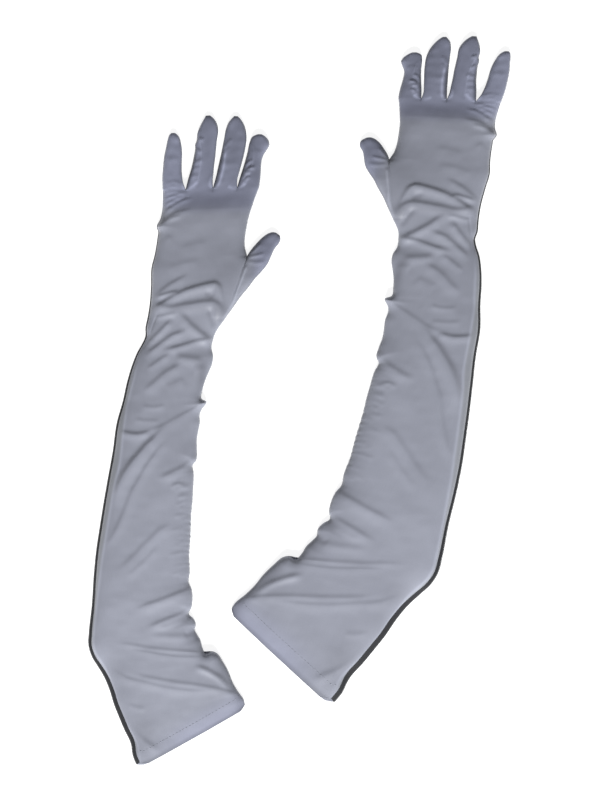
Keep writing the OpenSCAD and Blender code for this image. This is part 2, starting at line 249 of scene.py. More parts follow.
# ---------------------------------------------------------------- creases
# Each one is its dark line, its height in mm, and its width above and below that line.
CREASES = [
    # across the palm
    ([(-32, 20), (-29, 22), (-22, 26), (-16, 29.2), (-10, 33), (-4, 36.3), (2, 39.2), (8, 41.5), (14, 43.4),
      (20, 45), (26, 46.3), (31, 46.5), (34.5, 44), (36.5, 38), (37.5, 31), (38.5, 24)], 1.5, 1.7, 5),
    ([(-25, 28), (-20, 26.5), (-10, 25.2), (0, 26.8), (10, 28.3), (20, 29.8), (30, 29.7), (34.5, 26.8),
      (37, 23.5), (39, 18), (40, 10)], 1.6, 2.2, 6.5),
    ([(-30, 30), (-28, 31.7), (-22, 36.5), (-16, 41), (-10, 45.3), (-4, 48.7), (5, 53.3)], 0.8, 1.5, 4),
    ([(-23, 33.8), (-16, 36), (-9, 38), (-3, 39)], 0.9, 1.1, 2.6),
    ([(-12, 60), (0, 64), (14, 67)], 0.5, 2.5, 7),
    ([(-2, 77), (12, 82), (24, 83)], 0.4, 2.5, 7),
    ([(-22, 82), (-10, 89)], 0.4, 2, 4),
    # at the wrist
    ([(40, -13), (30, -6.5), (28, -4.5), (22, -0.8), (15, 4.4), (8, 10.5), (3, 16), (-2, 19)], 1.6, 2.2, 5.5),
    ([(-5, 19.5), (-12, 18.2), (-18, 16.8), (-24, 16)], 0.6, 1.2, 3),
    ([(36, -2), (28, -3), (24, -4), (15, -5.2), (5, -8), (-5, -11), (-15, -13.5)], 1.15, 1.5, 4),
    ([(-10, 12.5), (-12, 11), (-18, 4.8), (-24, -1), (-29, -6), (-31, -9)], 1.1, 1.5, 3.5),
    ([(4, 3.8), (-2, 2), (-8, 0), (-16, -5.5), (-22, -10), (-27, -13.8), (-32, -18.5)], 1.05, 1.6, 4),
    ([(19, -21.5), (12, -21), (5, -20), (-4, -18.5)], 1.1, 2.6, 5.5),
    ([(0, -26), (-8, -29.8), (-16, -34.8), (-24, -41.8), (-34, -50)], 1.0, 2, 6),
    ([(-11, -17.5), (-18, -21.3), (-24, -25.5), (-31, -30.5)], 0.7, 1.5, 4),
    ([(2, -39.5), (-8, -43.5), (-15, -45.5)], 0.4, 2, 5),
    ([(24, -31), (19, -29.5), (11, -29)], 0.6, 2.4, 5),
    # on the forearm
    ([(36, -54), (26, -58.5), (22, -60.5), (18, -63), (10, -67), (4, -70), (-2, -73.4), (-8, -76.6),
      (-14, -80), (-20, -82.8), (-30, -86)], 0.6, 1.5, 6),
    ([(-29, -86.6), (-34, -88), (-39, -88.8), (-45, -88.4), (-54, -86.3)], 1.1, 1.5, 4.5),
    ([(-15, -63), (-23, -64.6), (-35, -63.8)], 0.4, 1.4, 3),
    ([(-20, -77), (-32, -76.8), (-42, -75.5)], 0.35, 1.4, 3),
    ([(-18, -85), (-26, -93), (-32, -98.5), (-38, -105.5), (-44, -112.3), (-50, -120.5), (-55, -129),
      (-59, -138), (-62, -150)], 2.2, 2.2, 8),
    ([(-14, -96), (-20, -102), (-26, -109.8), (-32, -118.3), (-38, -129), (-44, -139), (-50, -154),
      (-56, -168), (-62, -180), (-68, -188)], 0.9, 1.7, 5),
    ([(25, -104.5), (17, -108.5), (13, -110), (9, -112.5), (4, -116.5), (-2, -120), (-8, -122.8),
      (-14, -125.7), (-20, -128)], 1.1, 2, 6),
    ([(12, -133.5), (5, -135.6), (-3, -133.5), (-10, -137)], 0.5, 1.1, 2.8),
    ([(11, -146.5), (4, -144.8), (-4, -146)], 0.35, 1.1, 2.6),
    ([(-9, -170), (-20, -174.8), (-26, -180.8), (-32, -186.5), (-38, -192.8), (-44, -198.8), (-50, -205),
      (-55, -209)], 0.85, 2.1, 7),
    ([(-21, -189), (-32, -201.5), (-38, -207), (-47, -215)], 0.4, 1.6, 4),
    ([(22, -223.5), (12, -227), (9, -228), (2, -230), (-8, -233.6), (-18, -237.6), (-30, -241.6),
      (-40, -245.6)], 0.85, 1.6, 6),
    ([(18, -237), (9, -243.5), (5, -246.5), (0, -250), (-8, -253), (-18, -257), (-30, -262)], 0.95, 1.6, 5),
    ([(6, -256), (0, -256.5), (-5, -257.6), (-12, -260.4), (-20, -263)], 0.3, 1.4, 3),
    ([(22, -258), (14, -263), (8, -268), (0, -269.7), (-15, -269.3), (-28, -269)], 0.5, 2.2, 4),
    # round the elbow
    ([(22, -286), (8, -284), (0, -283.3), (-10, -282.5), (-20, -281.5), (-30, -280.5), (-38, -279),
      (-46, -277.8), (-56, -277)], 0.45, 1.2, 3.5),
    ([(22, -289), (5, -289), (-10, -288), (-20, -286.5), (-30, -284.8), (-44, -283)], 0.4, 1.2, 4),
    # on the cuff
    ([(64, -327), (54, -324), (50, -322), (42, -320), (30, -317), (20, -315), (10, -313.5), (0, -312.3),
      (-10, -310.7), (-20, -309), (-30, -307.2), (-42, -304)], 0.62, 1.4, 4.5),
    ([(22, -320), (5, -318.8), (-5, -317.6), (-15, -316), (-25, -313.7), (-33, -311.8), (-44, -309.2),
      (-51, -306.8), (-60, -301.5)], 0.5, 1.3, 4.5),
    ([(13, -297), (18, -298), (23, -300), (29, -303.3), (35, -307), (40, -311.5), (44, -317)], 1.2, 1.8, 3.5),
    ([(-32, -335), (-40, -334), (-48, -331.5)], 0.3, 1.4, 3),
    ([(-48, -343), (-44, -353), (-38, -360), (-30, -366), (-20, -372)], 1.0, 2, 5),
    # at the knuckles
    ([(-23, 101), (-19, 103), (-12, 107), (-5, 110), (5, 112.5), (15, 114), (25, 115), (34, 115.5),
      (41, 113.5), (47, 110), (55, 107), (72, 102)], 0.9, 7.4, 15),
    ([(-29, 96.5), (-23, 99.5), (-17, 102.2), (-11, 106), (-5, 109), (8, 112.2)], 0.7, 1.4, 3.5),
    ([(-20, 104.5), (-15.4, 109.1), (-10.7, 113.3), (-4.5, 117.6), (3, 121), (9, 122.5)], 0.6, 1.0, 2.3),
    ([(-20, 114), (-15, 117.4), (-8, 121), (1, 124.2)], 0.65, 0.9, 2),
    ([(-18.5, 114.5), (-12, 118), (-5, 119.8)], 0.4, 0.8, 1.5),
    ([(-18, 120.5), (-11, 123.4), (-2, 124.6)], 0.4, 0.8, 1.5),
    ([(-20, 108), (-14, 112), (-8, 114.6)], 0.4, 0.8, 1.6),
    ([(-19, 120.5), (-14.3, 122.5), (-6.6, 125.4), (2.7, 127.6)], 0.6, 1.0, 2),
    ([(-22, 99), (-16, 102), (-8, 105), (0, 107)], 0.5, 1.1, 2.4),
    ([(-16, 127.6), (-6, 129), (2, 129)], 0.5, 1.0, 2),
    # on the fingers
    ([(-15, 131.5), (-8, 132.8), (0, 132)], 0.45, 1.0, 2),
    ([(-14, 136), (-7, 138), (0, 136)], 0.35, 1.2, 2.5),
    ([(-13, 157), (-7, 159), (-1, 158)], 0.45, 2, 4),
    ([(12.6, 174.5), (16, 176.2), (20.5, 175.6)], 1.0, 0.9, 2.4),
    ([(11.5, 164), (14, 166.5), (18.5, 163.5)], 0.8, 0.9, 2.2),
    ([(10.5, 155.5), (14, 155.5), (18, 158)], 0.7, 1, 2.2),
    ([(8.5, 148), (12, 150), (17, 149.5)], 0.45, 1, 2),
    ([(7.5, 141), (11, 143.3), (15, 142)], 0.45, 1, 2),
    ([(37.5, 153), (46, 154.8), (55, 153)], 0.4, 2, 3),
    ([(38.5, 168), (41, 172.5), (44.5, 176)], 0.6, 0.9, 1.8),
    ([(37, 160), (39, 164.5), (42.5, 168.5)], 0.55, 0.9, 1.8),
    ([(54.5, 149), (58, 153.5), (63.5, 157.5)], 0.9, 0.8, 1.7),
    ([(56, 144.8), (60, 149.2), (66, 151)], 0.95, 0.8, 1.7),
    ([(54, 140), (57.5, 145), (62.5, 146.8)], 0.85, 0.8, 1.6),
    ([(54, 136), (58, 140.5), (62, 142)], 0.7, 0.8, 1.5),
    ([(61, 164), (66.5, 166), (73, 164)], 0.35, 1.5, 3),
    # where the thumb leaves the palm
    ([(60, 70), (66, 71.2), (74, 73)], 0.7, 0.9, 1.8),
    ([(60, 66.5), (67, 65), (75, 66)], 0.5, 1, 2.2),
    ([(60, 73), (65, 76.5), (70.5, 82)], 0.5, 0.9, 1.6),
    ([(52, 36), (57, 41), (63, 47)], 0.35, 1.2, 2.2),
]
GATHER_X, GATHERS_AT = 8.5, np.arange(-126, -224, -5.6)


def gathers(seed=11):
    """Short creases that run in from the inner seam of the forearm, where it is gathered."""
    rng = np.random.default_rng(seed)
    for at in GATHERS_AT:
        y, inward, down = at + rng.uniform(-1.5, 1.5), rng.uniform(8, 20), rng.uniform(1, 6)
        line = [(GATHER_X, y), (GATHER_X - inward / 2, y - 0.35 * down), (GATHER_X - inward, y - down)]
        yield line, rng.uniform(0.15, 0.32), 1.1, 2.4


CREASES += gathers()
# Hollows: line, depth, and one width to both sides.
HOLLOWS = [
    ([(30.5, 4), (29, 12), (26, 20), (22, 25)], 1.0, 3),
    ([(20, 38), (25, 36.5), (30, 33.5)], 0.5, 3),
    ([(-20, 22), (-24, 12), (-27, 4), (-29, -3), (-32, -10), (-34, -18)], 0.8, 1),
    ([(30, 141), (31.5, 148), (33.5, 157), (35.5, 163)], 0.6, 1.4),
    ([(12, -266), (8, -268), (2, -270)], 0.6, 2.5),
]
# The seam allowance shows through the palm skin as a ridge along the outer edge.
ALLOWANCE_LINE = [(-36, -14), (-38, -22), (-41, -32), (-43.5, -42), (-46, -52), (-48.5, -62), (-50.5, -75),
                  (-52.5, -90), (-54, -105), (-56, -118), (-59, -130), (-62, -145), (-64.5, -160),
                  (-67, -175), (-69, -188), (-71, -200), (-73, -215), (-75, -232), (-77, -250),
                  (-78.6, -265), (-79.2, -277), (-78, -284), (-73.5, -292), (-68, -301), (-64, -312),
                  (-60.5, -322), (-57.5, -332), (-54, -342), (-49, -352), (-44, -360), (-40, -368),
                  (-38, -378), (-37.5, -386)]

# Sewn seams that show as a bright raised line: line, height, width, and how much painted highlight it gets.
RIDGES = [
    (ALLOWANCE_LINE, 0.55, 1.2, 0.26),
    ([(58.5, 62), (55, 52), (51, 42), (47, 30), (41.5, 20), (38.5, 14)], 0.6, 1.1, 0.3),
    ([(28, 143), (26, 137), (26.3, 133), (28.2, 131), (31, 132), (33.6, 136), (35.5, 142), (37.5, 150),
      (38.7, 160), (39.2, 170)], 0.45, 1.4, 0.55),
    ([(1.5, 137), (1.8, 132), (3.7, 129.8), (7, 131), (11, 133.5), (14, 138)], 0.4, 1.4, 0.45),
    ([(14, 134), (15.6, 141), (17, 150), (18, 160), (17.6, 168), (15.5, 176)], 0.3, 0.8, 0.16),
    ([(41.5, 133), (45, 131.2), (50, 130.8), (54, 132.6), (57.5, 136)], 0.4, 1.4, 0.5),
    ([(57, 133), (60.5, 143), (63.5, 153), (65, 162), (64.5, 170)], 0.3, 0.8, 0.16),
]

STEEP_SIDE = 1.45  # how much wider the steep side of each crease is than its table entry
CREST_BACK = 0.7  # how far a crease's crest lies behind its dark line, in widths of the steep side


def bump(d, height, upper, lower):
    """A crease's height at signed distances from its dark line, which lies on its steep side."""
    upper = STEEP_SIDE * upper
    d = d + CREST_BACK * upper
    return height * bell(d / np.where(d > 0, upper, lower))


def tapered(share, end=0.25):
    """Fades out at both ends of a line, over a share of its length."""
    return smoothstep(share / end) * smoothstep((1 - share) / end)


def longer(points, share=0.09):
    """A line through the points, drawn out at both ends by a share of its length."""
    p = np.array(points, float)
    size = lengths(p)[0]
    more = share * size.sum()
    first = p[0] + (p[0] - p[1]) * more / size[0]
    last = p[-1] + (p[-1] - p[-2]) * more / size[-1]
    return curve(np.concatenate([[first], p, [last]]), 2)


def relief(xy):
    """The height of all creases over the smooth skin."""
    z = np.zeros(len(xy))
    for points, height, upper, lower in CREASES:
        if points[0][0] > points[-1][0]:
            points = points[::-1]
        near, d, share = near_line(xy, longer(points), 3 * lower)
        z[near] += bump(d, height, upper, lower) * tapered(share)
    for points, depth, width in HOLLOWS:
        near, d, share = near_line(xy, curve(points, 2), 3 * width)
        z[near] -= depth * bell(d / width) * tapered(share, 0.3)
    return z + ridges(xy)[0]


def ridges(xy):
    """The height of the sewn ridges, and how much painted highlight they get."""
    z, painted_highlight = np.zeros(len(xy)), np.zeros(len(xy))
    for points, height, width, painted_shading in RIDGES:
        near, d, share = near_line(xy, curve(points, 2), 4 * width)
        form = bell(d / width) * tapered(share, 0.06)
        z[near] += height * form
        painted_highlight[near] += painted_shading * form
    return z, painted_highlight


def ripple(xy, pitch, seed):
    """A soft random-looking height between about -1 and 1, with waves about pitch long."""
    rng = np.random.default_rng(seed)
    total = np.zeros(len(xy))
    for k in range(7):
        angle, phase = rng.uniform(0, math.pi), rng.uniform(0, 2 * math.pi)
        scale = pitch * rng.uniform(0.7, 1.6)
        total += np.sin(2 * math.pi * (xy @ [math.cos(angle), math.sin(angle)]) / scale + phase)
    return total / 3.2


def over(field, grid, *values):
    """A field of heights over the points of a grid."""
    return field(grid.reshape(-1, 2), *values).reshape(grid.shape[:2])


def crown(t, power=3):
    """How far a skin has risen between its seams, at t from -1 to 1."""
    return np.sqrt(np.clip(1 - np.abs(t) ** power, 0, 1))


def sink(t):
    """How far the back skin has dropped to the table between its seams."""
    return np.minimum(1, 1.15 * np.clip(1 - t * t, 0, 1) ** 0.25)


def lowered(share):
    """The back skin's height, by how far it has dropped from its seams to the table."""
    return SEAM_Z * (1 - share) + BACK_Z * share


def raised(xy, z):
    return np.concatenate([xy, z[..., None]], -1)


# ---------------------------------------------------------------- the arm: cuff, forearm and hand
ROWS = [84, 262, 21, 54, 60]  # of the cuff, the forearm, the heel, the ball and the knuckles
LEFT_COUNT, RIGHT_COUNT = 8, 2  # columns across the fourchettes on a finger's left and right
FINGER_PALM = [20, 16, 16, 18]  # columns across each finger's palm side, between them
UNDER = 10  # columns across a finger's back


def finger_columns(i):
    """The columns across a finger's palm side: the fourchette on its left, the palm, and the one
    on its right."""
    return LEFT_COUNT * (i > 0), FINGER_PALM[i], RIGHT_COUNT * (i < 3)


def finger_shares(i, tau):
    """Where those columns lie across the finger, from 0 to 1, for every row."""
    left, middle, right = finger_columns(i)
    a = (np.interp(tau, SHARE_AT, LEFT_SHARE[i]) if left else np.zeros_like(tau))[:, None]
    b = 1 - (np.interp(tau, SHARE_AT, RIGHT_SHARE) if right else np.zeros_like(tau))[:, None]
    return np.concatenate([a * np.linspace(0, 1, left + 1)[:-1],
                           a + (b - a) * np.linspace(0, 1, middle + 1),
                           b + (1 - b) * np.linspace(0, 1, right + 1)[1:]], 1)


# The crotches' shares of the knuckle line, and how far above the line they lie.
CROTCH_X, CROTCH_Y = np.array(CROTCHES).T
CROTCH_AT = (CROTCH_X - CROTCH_X[0]) / (CROTCH_X[4] - CROTCH_X[0])
CROTCH_UP = CROTCH_Y - (CROTCH_Y[0] + CROTCH_AT * (CROTCH_Y[4] - CROTCH_Y[0]))


def knuckle_shares(under):
    """The columns of the hand's last row, from 0 to 1 over the knuckle line."""
    out = []
    for i, (a, b) in enumerate(zip(CROTCH_AT, CROTCH_AT[1:])):
        u = np.linspace(0, 1, UNDER + 1) if under else finger_shares(i, np.zeros(1))[0]
        out.append(a + (b - a) * (u if i == 3 else u[:-1]))
    return np.concatenate(out)


def finger_at(share):
    """The finger at each share of the knuckle line, and the place across it, from -1 to 1."""
    which = np.clip(np.searchsorted(CROTCH_AT, share, side="right") - 1, 0, 3)
    return which, 2 * (share - CROTCH_AT[which]) / np.diff(CROTCH_AT)[which] - 1


def edge_rows():
    """The outer and the inner end of every row of the arm, and the row where each stretch starts."""
    a, b, starts = [], [], []
    edges = zip(ROWS, stretches(curve(OUTER), OUTER_MARKS), stretches(curve(INNER), INNER_MARKS))
    for k, (count, outer, inner) in enumerate(edges):
        first = 1 if k else 0  # a stretch shares its first row with the one before
        share = np.linspace(0, 1, count + 1)[first:]
        starts.append(sum(len(x) for x in a) - first)
        a.append(along(outer, share))
        b.append(along(inner, share))
    a, b = np.concatenate(a), np.concatenate(b)
    return a, b, starts + [len(a) - 1]


PUCKER = 0.2  # height of the puckers along the inner seam


def pucker(y):
    """How the inner seam pulls the forearm into small uneven puckers, from about -1 to 1."""
    amount = smoothstep((y + 262) / 20) * smoothstep((-100 - y) / 25)
    uneven = 0.55 + 0.45 * np.sin(y / 15 + 1)
    coarse = np.sin(2 * math.pi * y / 5.7 + 2.4 * np.sin(y / 10))
    fine = np.sin(2 * math.pi * y / 3.3 + 2 * np.sin(y / 6))
    return amount * (uneven * coarse + 0.45 * fine)


def edge_distance(points, edge, reach=48):
    """How far the points of each row lie from an edge, looking at the rows near by."""
    rows = np.arange(len(edge))
    best = np.full(points.shape[:2], np.inf)
    for k in range(-reach, reach + 1):
        at = np.clip(rows + k, 0, len(edge) - 2)
        p = edge[at][:, None]
        q = edge[at + 1][:, None] - p
        d = points - p
        share = np.clip((d * q).sum(-1) / (q * q).sum(-1), 0, 1)
        best = np.minimum(best, np.linalg.norm(d - share[..., None] * q, axis=-1))
    return best


# Where the skin rises more steeply at its edge, to lie flat: centre, reach and how much more steeply.
SQUARE = [(24, -289, 12, 3.5), (20, -60, 7, 2.5), (-22, 97, 7, 2.2), (50, -325, 14, 2)]
EVEN = 0.6  # how evenly the columns are spread. The rest of them crowds towards the edges.
PALM_RIPPLES = [(0.16, 26, 3), (0.035, 7.5, 4)]  # height, length of the waves, and seed
BACK_RIPPLE = 0.10  # how far the back skin lifts off the table here and there
FLATTEN = 1.5  # how soon the creases reach their height beside a seam
HEM_FALL, HEM_FALL_REACH = 1.6, 24  # how far the palm skin drops over its hem, and from where
HEM_BOW_ROWS = 38  # how many rows the opening's bow takes to fade out
# How near to the knuckle line the rows bend to the crotches, the palm takes the fingers' height,
# and the skins take the shape of the fingers' first row.
BEND_REACH, ARCH_REACH, MEET_REACH = 5.5, 10, 2.4


def flat_rows(origin, inner, to_go, starts, last):
    """The shares of the columns in every row from origin to the inner edge, and where they lie. last
    has the shares in the last row, and to_go is how far each row is from it."""
    rows = np.arange(len(inner))
    w = np.linspace(0, 1, len(last))
    even = EVEN * w + (1 - EVEN) * (1 - np.cos(math.pi * w)) / 2
    turn = smoothstep((rows - starts[3] - 6) / (len(rows) - 7 - starts[3]))
    u = even + turn[:, None] * (last - even)
    p = origin[:, None] + (inner - origin)[:, None] * u[..., None]
    bow = np.interp(u, *HEM_BOW) * (np.clip(1 - rows / HEM_BOW_ROWS, 0, 1) ** 2)[:, None]
    p = p + bow[..., None] * HEM_WAY
    p[..., 1] += bell(to_go / BEND_REACH)[:, None] * np.interp(u, CROTCH_AT, CROTCH_UP)
    return u, p


def palm_skin(outer, inner, start, to_go, starts, thumb):
    """The palm skin's rows, which rise from seam to seam and dip to the crotches."""
    columns = knuckle_shares(False)
    u, xy = flat_rows(start, inner, to_go, starts, columns)
    width = np.linalg.norm(inner - outer, axis=1)
    reach = np.minimum(edge_distance(xy, start), edge_distance(xy, inner))
    for x, y, size, factor in SQUARE:
        reach *= 1 + (factor - 1) * np.exp(-((xy[..., 0] - x) ** 2 + (xy[..., 1] - y) ** 2) / size**2)
    dome = crown(1 - np.clip(reach / (0.5 * width[:, None]), 0, 1), 4)
    height = np.interp(0.5 * (outer + inner)[:, 1], LOFT_AT, LOFT)[:, None]
    z = SEAM_Z + (height - SEAM_Z) * dome
    up = lengths((outer + inner) / 2)[1]
    z -= HEM_FALL * (1 - smoothstep(up / HEM_FALL_REACH))[:, None] * dome
    mouth = THUMB_RISE * crown(2 * thumb - 1)[:, None] * smoothstep((u - 0.55) / 0.45)
    z = np.maximum(z, SEAM_Z + mouth + (height - SEAM_Z - mouth) * dome**1.2)
    which, part = finger_at(columns)
    dip = finger_height(which, (part + 1) / 2, 0)
    roll = np.where((which == 0) & (part < 0) | (which == 3) & (part > 0), crown(part), 1)
    middles = (CROTCH_AT[1:] + CROTCH_AT[:-1]) / 2
    arch = SEAM_Z + (np.interp(columns, middles, FINGER_LOFT) - SEAM_Z) * roll
    z = z + bell(to_go / ARCH_REACH)[:, None] * (arch - z)
    meet = bell(to_go / MEET_REACH)[:, None]
    z = z + meet * (dip - arch)
    wave = over(relief, xy)
    for size, pitch, seed in PALM_RIPPLES:
        wave += size * over(ripple, xy, pitch, seed)
    return raised(xy, z + wave * np.clip(FLATTEN * dome**2, 0, 1) * (1 - meet))


def back_skin(outer, inner, to_go, starts, thumb):
    """The back skin's rows, which drop to the table from seam to seam."""
    columns = knuckle_shares(True)
    u, xy = flat_rows(outer, inner, to_go, starts, columns)
    s = sink(2 * u - 1)
    z = lowered(s) + BACK_RIPPLE * (1 + over(ripple, xy, 14, 8)) * s**4
    z = z + bell(to_go / MEET_REACH)[:, None] * (lowered(sink(finger_at(columns)[1])) - z)
    z[:, -1] = lowered(sink(2 * thumb - 1) * (thumb * (1 - thumb) > 0))
    return raised(xy, z)


# Width of the ledge that the back skin makes beyond the palm skin, along the outer edge, which carries a
# painted shadow.
LEDGE_AT = [-390, -350, -300, -280, -250, -150, -50, 0, 50, 100, 112]
LEDGE = [4.0, 4.3, 4.0, 3.2, 2.5, 2.1, 1.9, 1.6, 1.4, 1.2, 0.9]
# The two lines over which the cloth rolls down from the ledge: place across it, and height.
LEDGE_ROLL = [(0.45, 1.75), (0, 1.1)]


def arm_surface():
    """The rows of the palm skin and the back skin, in mm, and where each stretch starts."""
    outer, inner, starts = edge_rows()
    inner[:, 0] += PUCKER * pucker(inner[:, 1])
    rows = np.arange(len(outer))
    across = inner - outer
    way = across / np.linalg.norm(across, axis=1)[:, None]
    ledge = np.interp(outer[:, 1], LEDGE_AT, LEDGE)[:, None]
    ledge[-1] = 0
    to_go = outer[-1, 1] - outer[:, 1]
    thumb = np.clip((rows - starts[3]) / (starts[4] - starts[3]), 0, 1)
    top = palm_skin(outer, inner, outer + way * ledge, to_go, starts, thumb)
    under = back_skin(outer, inner, to_go, starts, thumb)
    # The back skin starts at the palm skin's edge, rolls down over the ledge and goes under.
    edge = top[:, 0]
    roll = [raised(outer + way * ledge * share, np.full(len(rows), z)) for share, z in LEDGE_ROLL]
    roll = [edge] + [edge + np.clip(ledge / 2, 0, 1) * (line - edge) for line in roll]
    return top, np.concatenate([np.stack(roll, 1), under[:, 1:]], 1), starts


# ---------------------------------------------------------------- fingers and thumb
CROTCH_LIFT = 4.2  # how high the palm skin's seams start between two fingers
TIP_FALL = 0.22  # how much lower a finger is at its tip
FINGER_CLOSE, THUMB_CLOSE = 7, 6  # how bluntly the tips close
DIGIT_RIPPLE, FINGER_PITCH, THUMB_PITCH = 0.12, 11, 10


def finger_height(i, u, tau):
    """The height of a finger's palm side, smooth, at u across it and tau along it."""
    i = np.asarray(i)
    lift = CROTCH_LIFT * (1 - smoothstep(tau / 0.45)) * ((1 - u) * (i > 0) + u * (i < 3))
    loft = (np.array(FINGER_LOFT)[i] - SEAM_Z) * (1 - TIP_FALL * tau) * crown(tau, FINGER_CLOSE)
    return SEAM_Z + lift + (loft - lift) * crown(2 * u - 1)


def finger_surface(i, rows=50):
    """A finger's palm side and back, in mm, row by row from the knuckle line to the tip, and the
    lower parts of the fourchettes on its left and on its right."""
    tau = np.linspace(0, 1, rows + 1)
    left = along(curve([CROTCHES[i]] + FINGER_LEFT[i]), tau)
    right = along(curve([CROTCHES[i + 1]] + FINGER_RIGHT[i]), tau)
    close = crown(tau, FINGER_CLOSE)[:, None]

    def across(shares):
        return left[:, None] + (right - left)[:, None] * shares[..., None]

    def under(shares):
        return raised(across(shares), lowered(sink(2 * shares - 1) * close))

    u = finger_shares(i, tau)
    xy = across(u)
    z = finger_height(i, u, tau[:, None])
    wave = over(relief, xy) + DIGIT_RIPPLE * over(ripple, xy, FINGER_PITCH, 20 + i)
    inside = np.clip(FLATTEN * crown(2 * u - 1) ** 2, 0, 1) * close
    z = z + wave * inside * smoothstep(tau[:, None] / 0.08)
    # The back skin's edges move in under the finger where the fourchettes are.
    gusset = np.interp(tau, SHARE_AT, UNDER_SHARE)
    on_left, on_right = gusset * (i > 0), gusset * (i < 3)
    grow = smoothstep(tau / 0.12)
    base = np.linspace(0, 1, UNDER + 1)
    narrow = on_left[:, None] + (1 - on_left - on_right)[:, None] * base
    back = under(base + grow[:, None] * (narrow - base))
    lows = [under(edge + (end - edge)[:, None] * np.linspace(0, 1, 4))
            for edge, end in ((0, grow * on_left), (1, 1 - grow * on_right))]
    return raised(xy, z), back, lows


def thumb_surface(base, rows=50):
    """The thumb's palm side and back, row by row from the hand's edge, given as base, to its tip.
    The columns run from the wrist's side to the index finger's."""
    tau = np.linspace(0, 1, rows + 1)
    upper, lower = (along(curve(line), tau) for line in (THUMB_UPPER, THUMB_LOWER))
    v = np.linspace(0, 1, len(base))
    xy = lower[:, None] + (upper - lower)[:, None] * v[None, :, None]
    xy = xy + (base[None, :, :2] - xy[0]) * (1 - smoothstep(tau / 0.15))[:, None, None]
    close = crown(tau, THUMB_CLOSE)[:, None]
    loft = (THUMB_RISE - 0.6 * smoothstep(tau / 0.5) - 1.1 * tau)[:, None] * close
    rise = crown(2 * v - 1)[None, :]
    wave = over(relief, xy) + DIGIT_RIPPLE * over(ripple, xy, THUMB_PITCH, 31)
    z = SEAM_Z + loft * rise
    z = z + wave * np.clip(1.4 * rise**2, 0, 1) * close * smoothstep(tau / 0.1)[:, None]
    return raised(xy, z), raised(xy, lowered(sink(2 * v - 1)[None, :] * close))


# ---------------------------------------------------------------- colour
# Patches of painted shade and painted light on the satin: centre, half-widths and factor.
PAINTED_LIGHT_AND_SHADE_PATCHES = [
    # fingers
    (64, 160, 11, 32, 0.78), (47, 168, 11, 34, 0.78), (23, 168, 10, 34, 0.9), (-8, 158, 9, 30, 1.02),
    (24, 163, 4, 26, 0.92), (-8, 176, 4, 5, 1.15), (44, 189, 4, 4, 1.25), (70, 142, 5, 14, 0.85),
    (-3, 176, 3, 5, 1.2), (50, 190, 6, 8, 1.15), (73, 177, 7, 5, 1.15), (28, 139, 4, 7, 0.86),
    # thumb
    (78, 80, 18, 20, 0.74), (65, 54, 8, 9, 0.78), (78, 88, 8, 6, 1.2),
    # palm and knuckles
    (38, 60, 22, 22, 0.88), (35, 124, 45, 9, 0.98), (15, 88, 45, 28, 0.95), (-9, 117, 10, 12, 1.14),
    (63, 118, 11, 18, 0.76), (37, 20, 9, 8, 0.8), (-2, 127, 9, 6, 1.16), (34, 15, 5, 5, 0.85),
    (8, 22.5, 34, 3.5, 0.87), (2, 121, 7, 4, 1.12),
    # wrist and forearm
    (19, -38, 5, 14, 0.68), (-12, -22, 12, 6, 1.14), (13, -112, 4, 5, 0.88), (1, -175, 8, 70, 0.96),
    (-27, -90, 11, 6, 1.14), (-16, -182, 16, 36, 1.05), (9, -256, 5, 3, 1.3), (25, -287.5, 7, 2.5, 1.5),
    # cuff
    (-36, -360, 16, 24, 0.77), (0, -300, 60, 40, 0.96), (30, -306, 12, 12, 0.87), (-54, -318, 8, 20, 0.9),
    (-62, -300, 9, 9, 0.86), (52, -335, 6, 6, 0.87), (-45, -322, 15, 24, 0.93)]
MOTTLE, MOTTLE_PITCH = 0.015, 55  # how much the cloth's tone varies, and over what length in mm
# Painted light: the cuff by the opening is lighter and bluer towards its inner edge.
HEM_PAINTED_LIGHT = np.array([1.05, 1.05, 1.13])
HEM_EDGE_SHADE = 0.2  # how much painted shade darkens the hem along its last few millimetres, where it turns over
HEM_LINE = np.array([(57, -333), (-41, -387)]) + 4.6 * HEM_WAY  # just beyond the opening
# What fade() takes for the painted edge shade and for the painted light, by the distance from that line and
# across.
HEM_EDGE_FADE, HEM_PAINTED_LIGHT_FADE, HEM_ACROSS_FADE = (4.4, 1.4), (26, 24), (34, 45)
OUTER_STRIP = np.array([-0.05, -0.05, -0.1])  # the seam allowance's strip, beside its ridge
STRIP_WIDTH = 12
EDGE_SHADE = 0.45  # painted shade where the satin rolls under at a finger's edge
EDGE_FADE, TIP_FADE = (-0.84, 0.16), (-0.95, 0.05)  # where it does so, across and along the finger
SIDE_SHADE = [0, 0.2, 0.27, 0.2]  # how wide the painted shade is on each finger's side by its left neighbour
SIDE_DARK = 0.62  # how much that painted shade darkens the side
LOW_SHADE = 0.45  # how much light the lower part of a fourchette keeps
FINGER_SHADE = np.array([0.9, 0.91, 1.02])  # painted shade: the fingers' and the thumb's satin is darker and bluer
FINGER_FROM, THUMB_FROM, SHADE_REACH = 104, 57, 16  # where that starts, up and across
LEDGE_SHADE = 0.07  # how much light the ledge keeps
LEDGE_SHARES = [1, 1, 1, 0.5]  # how far that holds for the back skin's first columns
LEDGE_END, LEDGE_FADE = 116, 40  # where the ledge's shade ends, near the little finger


def fade(x, start, reach):
    """Rises from 0 at -start to 1 over a reach."""
    return smoothstep((start + x) / reach)


def rolled(u, tau):
    """How much light the cloth keeps towards a finger's edges and its tip."""
    edge = fade(np.abs(2 * u - 1), *EDGE_FADE)
    return 1 - EDGE_SHADE * np.maximum(edge, fade(tau, *TIP_FADE))


